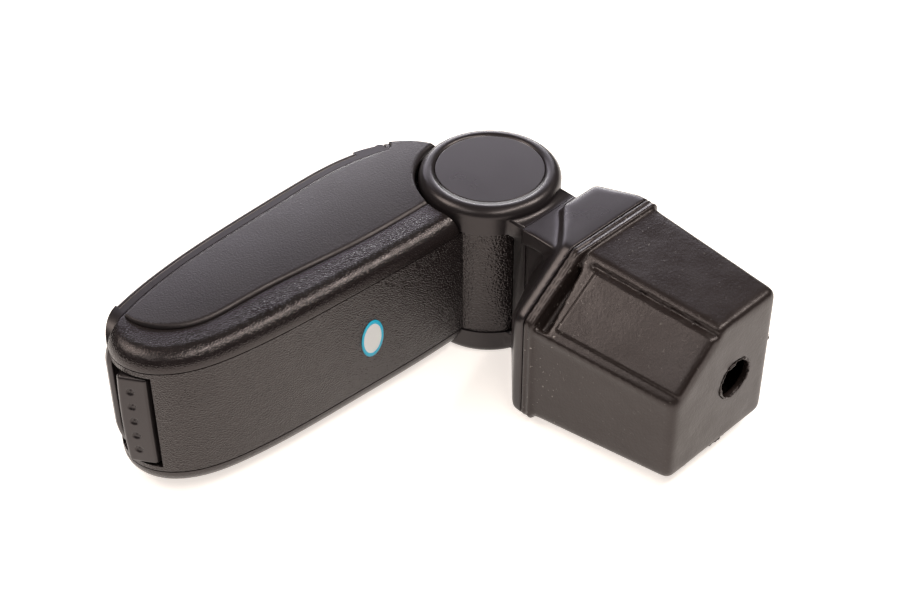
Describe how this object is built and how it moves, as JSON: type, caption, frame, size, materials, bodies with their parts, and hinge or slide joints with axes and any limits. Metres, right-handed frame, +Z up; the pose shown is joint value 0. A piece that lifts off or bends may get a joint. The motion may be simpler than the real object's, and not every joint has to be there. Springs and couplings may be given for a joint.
{
  "type": "car centre armrest",
  "caption": "Car centre armrest box with a padded hinged lid and latch button, turning on a barrel hinge above a tapered, hollow console foot.",
  "frame": {"origin": "on the main hinge axis, at the outer face of the lower hinge cap, which lies on the floor", "axes": "+Z up along the hinge axis, +X forward along the armrest box, +Y down the console foot"},
  "size_m": [0.2993, 0.2608, 0.1094],
  "materials": {
    "grained_plastic": "moulded leather grain, semi-gloss",
    "inlay_plastic": "fine grain, matte",
    "smooth_plastic": "smooth satin",
    "rough_plastic": "uneven moulded surface with a dull sheen, scuffed",
    "leatherette": "grained leatherette over foam",
    "zinc_steel": "zinc plated",
    "spring_steel": "plain",
    "bearing_plastic": "plain",
    "brass": "turned"
  },
  "bodies": {
    "foot": {"hinge_fork": "smooth_plastic", "console_insert": "rough_plastic", "clamp_bolt": "zinc_steel", "clamp_washer": "zinc_steel", "threaded_sleeve": "brass", "left_hinge_cap": "smooth_plastic", "right_hinge_cap": "smooth_plastic", "hinge_pin": "zinc_steel", "hinge_nut": "zinc_steel", "hinge_washers": "zinc_steel", "friction_discs": "bearing_plastic"},
    "armrest": {"hinge_barrel": "grained_plastic", "barrel_bushes": "bearing_plastic", "barrel_screws": "zinc_steel", "tray_shell": "grained_plastic", "left_side_cover": "grained_plastic", "right_side_cover": "grained_plastic", "left_side_inlay": "inlay_plastic", "right_side_inlay": "inlay_plastic", "cover_screws": "zinc_steel", "lid_hinge_pin": "zinc_steel", "latch_spring": "spring_steel"},
    "lid": {"lid_frame": "smooth_plastic", "lid_pad": "leatherette"},
    "latch": {"latch_button": "smooth_plastic"}
  },
  "joints": [
    {"name": "armrest_lift", "type": "hinge", "parent": "foot", "child": "armrest", "pos_m": [0, 0, 0.0547], "axis": [0, 0, -1], "range_deg": [0, 100]},
    {"name": "lid_open", "type": "hinge", "parent": "armrest", "child": "lid", "pos_m": [0.0255, -0.0678, 0.0547], "axis": [0, 0, -1], "range_deg": [0, 75]},
    {"name": "latch_press", "type": "slide", "parent": "armrest", "child": "latch", "axis": [-1, 0, 0], "range_m": [0, 0.003], "stiffness_N_per_m": 600, "springref_m": -0.002, "deforming": ["latch_spring"]}
  ]
}
